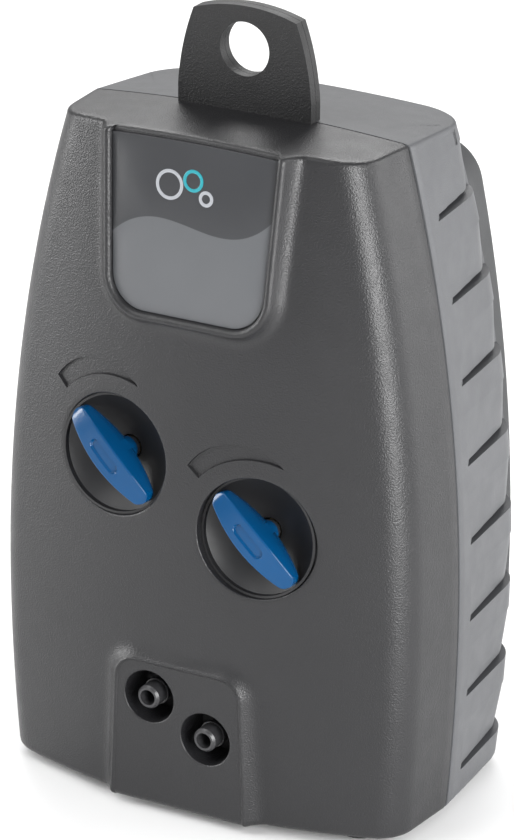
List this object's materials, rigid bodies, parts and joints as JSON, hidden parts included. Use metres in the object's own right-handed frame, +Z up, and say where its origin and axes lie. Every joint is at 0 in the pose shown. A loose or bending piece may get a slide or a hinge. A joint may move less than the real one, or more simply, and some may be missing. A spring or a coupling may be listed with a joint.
{
  "type": "air pump",
  "caption": "Upright wall-hung or standing air pump with flared grey housing, hanging tab, turning flow knobs in round bowls and barbed air outlets.",
  "frame": {"origin": "centre of the footprint on the surface the pump stands on, under the middle of its bounding box", "axes": "+Z up, front with the knobs and air outlets faces -Y, +X to the right seen from the front"},
  "size_m": [0.0972, 0.0699, 0.165],
  "materials": {
    "shell_front": "fine leather grain, satin",
    "shell_rear": "satin",
    "pad_label": "two-tone print under a satin film",
    "hanger_black": "coarse spark-eroded grain",
    "knob_blue": "gloss",
    "well_black": "smooth satin",
    "nozzle_black": "satin",
    "soft_black": "matt",
    "foam": "open-cell foam",
    "screw_steel": "zinc plated",
    "core_steel": "stacked laminations",
    "winding": "enamelled copper wire",
    "bobbin": "moulded nylon",
    "inner_plastic": "moulded",
    "inner_light": "moulded",
    "arm_metal": "stamped",
    "magnet": "sintered ferrite",
    "hose": "silicone",
    "spindle_brass": "turned"
  },
  "bodies": {
    "housing": {"front_shell": "shell_front", "rear_shell": "shell_rear", "label_plate": "pad_label", "hanger_front_plate": "hanger_black", "hanger_rear_plate": "hanger_black", "housing_gasket": "soft_black", "cord_gland": "soft_black", "foot_front_left": "soft_black", "foot_front_right": "soft_black", "foot_rear_left": "soft_black", "foot_rear_right": "soft_black", "chassis_isolators": "soft_black", "intake_filter_foam": "foam", "hanger_pins": "screw_steel", "housing_screws": "screw_steel", "chassis_screws": "screw_steel", "pump_chassis": "inner_plastic", "coil_core": "core_steel", "coil_bobbin": "bobbin", "coil_winding": "winding", "terminal_block": "inner_light", "knob_well_left": "well_black", "regulator_body_left": "inner_light", "spindle_seal_left": "soft_black", "diaphragm_left": "soft_black", "intake_flap_left": "soft_black", "exhaust_flap_left": "soft_black", "nozzle_left": "nozzle_black", "arm_pivot_pin_left": "screw_steel", "pump_chamber_left": "inner_plastic", "chamber_cover_left": "inner_plastic", "valve_plate_left": "inner_light", "supply_hose_left": "hose", "outlet_hose_left": "hose", "knob_well_right": "well_black", "regulator_body_right": "inner_light", "spindle_seal_right": "soft_black", "diaphragm_right": "soft_black", "intake_flap_right": "soft_black", "exhaust_flap_right": "soft_black", "nozzle_right": "nozzle_black", "arm_pivot_pin_right": "screw_steel", "pump_chamber_right": "inner_plastic", "chamber_cover_right": "inner_plastic", "valve_plate_right": "inner_light", "supply_hose_right": "hose", "outlet_hose_right": "hose"},
    "filter_cover": {"rear_filter_cover": "shell_rear"},
    "knob_left": {"control_knob_left": "knob_blue", "regulator_spindle_left": "spindle_brass"},
    "arm_left": {"swing_arm_left": "arm_metal", "arm_magnet_left": "magnet", "diaphragm_clamp_left": "screw_steel"},
    "knob_right": {"control_knob_right": "knob_blue", "regulator_spindle_right": "spindle_brass"},
    "arm_right": {"swing_arm_right": "arm_metal", "arm_magnet_right": "magnet", "diaphragm_clamp_right": "screw_steel"}
  },
  "joints": [
    {"name": "knob_left_turn", "type": "hinge", "parent": "housing", "child": "knob_left", "pos_m": [-0.01628, -0.03182, 0.07595], "axis": [0.048, 0.9957, -0.0793], "range_deg": [0, 70]},
    {"name": "knob_right_turn", "type": "hinge", "parent": "housing", "child": "knob_right", "pos_m": [0.01628, -0.03182, 0.06468], "axis": [-0.048, 0.9957, -0.0793], "range_deg": [0, 70]},
    {"name": "arm_left_swing", "type": "hinge", "parent": "housing", "child": "arm_left", "pos_m": [-0.0205, 0.00187, 0.106], "axis": [0, 1, 0], "range_deg": [-3, 3], "stiffness_Nm_per_rad": 0.2},
    {"name": "arm_right_swing", "type": "hinge", "parent": "housing", "child": "arm_right", "pos_m": [0.0205, 0.00187, 0.106], "axis": [0, 1, 0], "range_deg": [-3, 3], "stiffness_Nm_per_rad": 0.2},
    {"name": "filter_cover_pull", "type": "slide", "parent": "housing", "child": "filter_cover", "axis": [0, 1, 0], "range_m": [0, 0.03]}
  ],
  "couplings": [
    {"joint": "arm_right_swing", "follows": "arm_left_swing", "ratio": -1}
  ]
}
